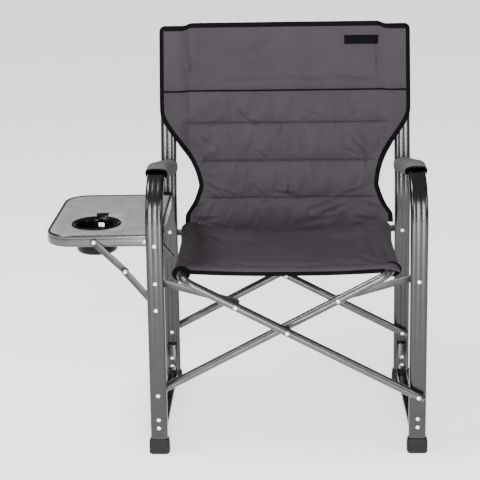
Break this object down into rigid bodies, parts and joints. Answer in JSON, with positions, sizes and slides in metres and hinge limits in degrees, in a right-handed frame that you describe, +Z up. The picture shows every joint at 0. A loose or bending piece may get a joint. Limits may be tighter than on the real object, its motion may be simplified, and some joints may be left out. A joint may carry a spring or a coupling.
{
  "type": "director chair",
  "caption": "Folding camping director chair with a padded fabric seat and back, padded armrests, crossed tube legs and a fold-down side table with a cup holder.",
  "frame": {"origin": "middle of the whole object's footprint on the floor, side table up", "axes": "+Z up, +Y from the front legs towards the back, +X from the side-table side towards the other armrest"},
  "size_m": [0.8418, 0.5304, 0.9017],
  "materials": {
    "frame_tube": "dark grey hammered powder coat on fluted oval and round tube, slight gloss",
    "flat_strap": "dark grey powder coat on flat steel strap, slight gloss",
    "rivet": "bright domed rivet head",
    "foot_cap": "dark grey moulded foot cap, matt",
    "padded_fabric": "warm grey plain-weave polyester, quilted, with black bound edges",
    "table_rim": "satin silver-grey rounded rim",
    "table_panel": "light grey satin panel with fine grain",
    "cup_plastic": "black moulded plastic, semi-gloss"
  },
  "bodies": {
    "left_frame": {"left_arm_tube": "frame_tube", "left_rear_post": "frame_tube", "left_side_rail": "frame_tube", "left_front_foot": "foot_cap", "left_rear_foot": "foot_cap", "left_arm_pad": "padded_fabric", "back_sleeve_left": "padded_fabric", "front_hinge_rivet": "rivet", "rear_hinge_rivet": "rivet", "front_brace_leg_rivet": "rivet", "rear_brace_leg_rivet": "rivet", "front_pivot_rivet_left": "rivet", "rear_pivot_rivet_left": "rivet", "front_link_rivet_left": "rivet", "rear_link_rivet_left": "rivet"},
    "cross_b": {"cross_frame_b": "frame_tube", "front_tube_rivet_right": "rivet", "rear_tube_rivet_right": "rivet"},
    "cross_a": {"cross_frame_a": "frame_tube", "front_cross_spacer": "flat_strap", "rear_cross_spacer": "flat_strap", "front_cross_rivet": "rivet", "rear_cross_rivet": "rivet", "front_pivot_rivet_right": "rivet", "rear_pivot_rivet_right": "rivet", "front_tube_rivet_left": "rivet", "rear_tube_rivet_left": "rivet"},
    "right_frame": {"right_arm_tube": "frame_tube", "right_rear_post": "frame_tube", "right_side_rail": "frame_tube", "right_front_foot": "foot_cap", "right_rear_foot": "foot_cap", "right_arm_pad": "padded_fabric", "back_sleeve_right": "padded_fabric", "front_link_rivet_right": "rivet", "rear_link_rivet_right": "rivet"},
    "front_link_left": {"front_link_left": "flat_strap"},
    "rear_link_left": {"rear_link_left": "flat_strap"},
    "front_link_right": {"front_link_right": "flat_strap"},
    "rear_link_right": {"rear_link_right": "flat_strap"},
    "seat_left": {"seat_left": "padded_fabric"},
    "seat_right": {"seat_right": "padded_fabric"},
    "back_left": {"back_panel_left": "padded_fabric"},
    "back_right": {"back_panel_right": "padded_fabric"},
    "table": {"table_rim": "table_rim", "table_top": "table_panel", "cup_holder": "cup_plastic", "cup_tab": "cup_plastic", "front_rim_rivet": "rivet", "rear_rim_rivet": "rivet"},
    "front_brace_lower": {"front_brace_lower": "flat_strap", "front_brace_mid_rivet": "rivet"},
    "front_brace_upper": {"front_brace_upper": "flat_strap", "front_brace_rim_rivet": "rivet"},
    "rear_brace_lower": {"rear_brace_lower": "flat_strap", "rear_brace_mid_rivet": "rivet"},
    "rear_brace_upper": {"rear_brace_upper": "flat_strap", "rear_brace_rim_rivet": "rivet"}
  },
  "joints": [
    {"name": "fold", "type": "hinge", "parent": "left_frame", "child": "cross_b", "pos_m": [-0.17888, -0.01824, 0.141], "axis": [0, -1, 0], "range_deg": [0, 46.02], "deforming": ["seat_left", "seat_right", "back_panel_left", "back_panel_right", "back_sleeve_left", "back_sleeve_right", "left_arm_pad", "right_arm_pad"]},
    {"name": "cross_a_turn", "type": "hinge", "parent": "cross_b", "child": "cross_a", "pos_m": [0.10912, -0.01824, 0.294], "axis": [0, -1, 0], "range_deg": [-92.14, 0]},
    {"name": "right_frame_turn", "type": "hinge", "parent": "cross_a", "child": "right_frame", "pos_m": [0.39712, -0.01824, 0.141], "axis": [0, -1, 0], "range_deg": [0, 46.12]},
    {"name": "front_link_left_turn", "type": "hinge", "parent": "left_frame", "child": "front_link_left", "pos_m": [-0.17653, -0.22124, 0.403], "axis": [0, -1, 0], "range_deg": [0, 89.6]},
    {"name": "front_link_right_turn", "type": "hinge", "parent": "right_frame", "child": "front_link_right", "pos_m": [0.39476, -0.20174, 0.403], "axis": [0, -1, 0], "range_deg": [-89.6, 0]},
    {"name": "rear_link_left_turn", "type": "hinge", "parent": "left_frame", "child": "rear_link_left", "pos_m": [-0.17653, 0.18876, 0.403], "axis": [0, -1, 0], "range_deg": [0, 89.6]},
    {"name": "rear_link_right_turn", "type": "hinge", "parent": "right_frame", "child": "rear_link_right", "pos_m": [0.39476, 0.20826, 0.403], "axis": [0, -1, 0], "range_deg": [-89.6, 0]},
    {"name": "seat_left_turn", "type": "hinge", "parent": "cross_a", "child": "seat_left", "pos_m": [-0.12094, -0.01824, 0.41622], "axis": [0, -1, 0], "range_deg": [-26, 0]},
    {"name": "seat_right_turn", "type": "hinge", "parent": "seat_left", "child": "seat_right", "pos_m": [0.10912, -0.01824, 0.41622], "axis": [0, -1, 0], "range_deg": [0, 143.8]},
    {"name": "back_left_turn", "type": "hinge", "parent": "left_frame", "child": "back_left", "pos_m": [-0.11789, 0.20708, 0.668], "axis": [0, 0.1729, 0.9849], "range_deg": [0, 82.8]},
    {"name": "back_right_turn", "type": "hinge", "parent": "back_left", "child": "back_right", "pos_m": [0.10912, 0.20708, 0.668], "axis": [0, 0.1729, 0.9849], "range_deg": [-165.6, 0]},
    {"name": "table_turn", "type": "hinge", "parent": "left_frame", "child": "table", "pos_m": [-0.17576, -0.02624, 0.488], "axis": [0, -1, 0], "range_deg": [0, 90]},
    {"name": "front_brace_lower_turn", "type": "hinge", "parent": "left_frame", "child": "front_brace_lower", "pos_m": [-0.17708, -0.20974, 0.3415], "axis": [0, -1, 0], "range_deg": [-40, 0]},
    {"name": "front_brace_upper_turn", "type": "hinge", "parent": "front_brace_lower", "child": "front_brace_upper", "pos_m": [-0.24378, -0.20974, 0.42268], "axis": [0, -1, 0], "range_deg": [0, 175]},
    {"name": "rear_brace_lower_turn", "type": "hinge", "parent": "left_frame", "child": "rear_brace_lower", "pos_m": [-0.17708, 0.15726, 0.3415], "axis": [0, -1, 0], "range_deg": [-40, 0]},
    {"name": "rear_brace_upper_turn", "type": "hinge", "parent": "rear_brace_lower", "child": "rear_brace_upper", "pos_m": [-0.24378, 0.15726, 0.42268], "axis": [0, -1, 0], "range_deg": [0, 175]}
  ],
  "couplings": [
    {"joint": "cross_a_turn", "follows": "fold", "ratio": -2},
    {"joint": "right_frame_turn", "follows": "fold", "ratio": 1},
    {"joint": "front_link_left_turn", "follows": "fold", "ratio": 1.9341},
    {"joint": "front_link_right_turn", "follows": "fold", "ratio": -1.9341},
    {"joint": "rear_link_left_turn", "follows": "fold", "ratio": 1.9341},
    {"joint": "rear_link_right_turn", "follows": "fold", "ratio": -1.9341},
    {"joint": "seat_left_turn", "follows": "fold", "ratio": -0.56046},
    {"joint": "seat_right_turn", "follows": "fold", "ratio": 3.1209},
    {"joint": "back_left_turn", "follows": "fold", "ratio": 1.7968},
    {"joint": "back_right_turn", "follows": "fold", "ratio": -3.5935},
    {"joint": "front_brace_lower_turn", "follows": "table_turn", "ratio": -0.44198},
    {"joint": "front_brace_upper_turn", "follows": "table_turn", "ratio": 1.9384},
    {"joint": "rear_brace_lower_turn", "follows": "table_turn", "ratio": -0.44198},
    {"joint": "rear_brace_upper_turn", "follows": "table_turn", "ratio": 1.9384}
  ]
}
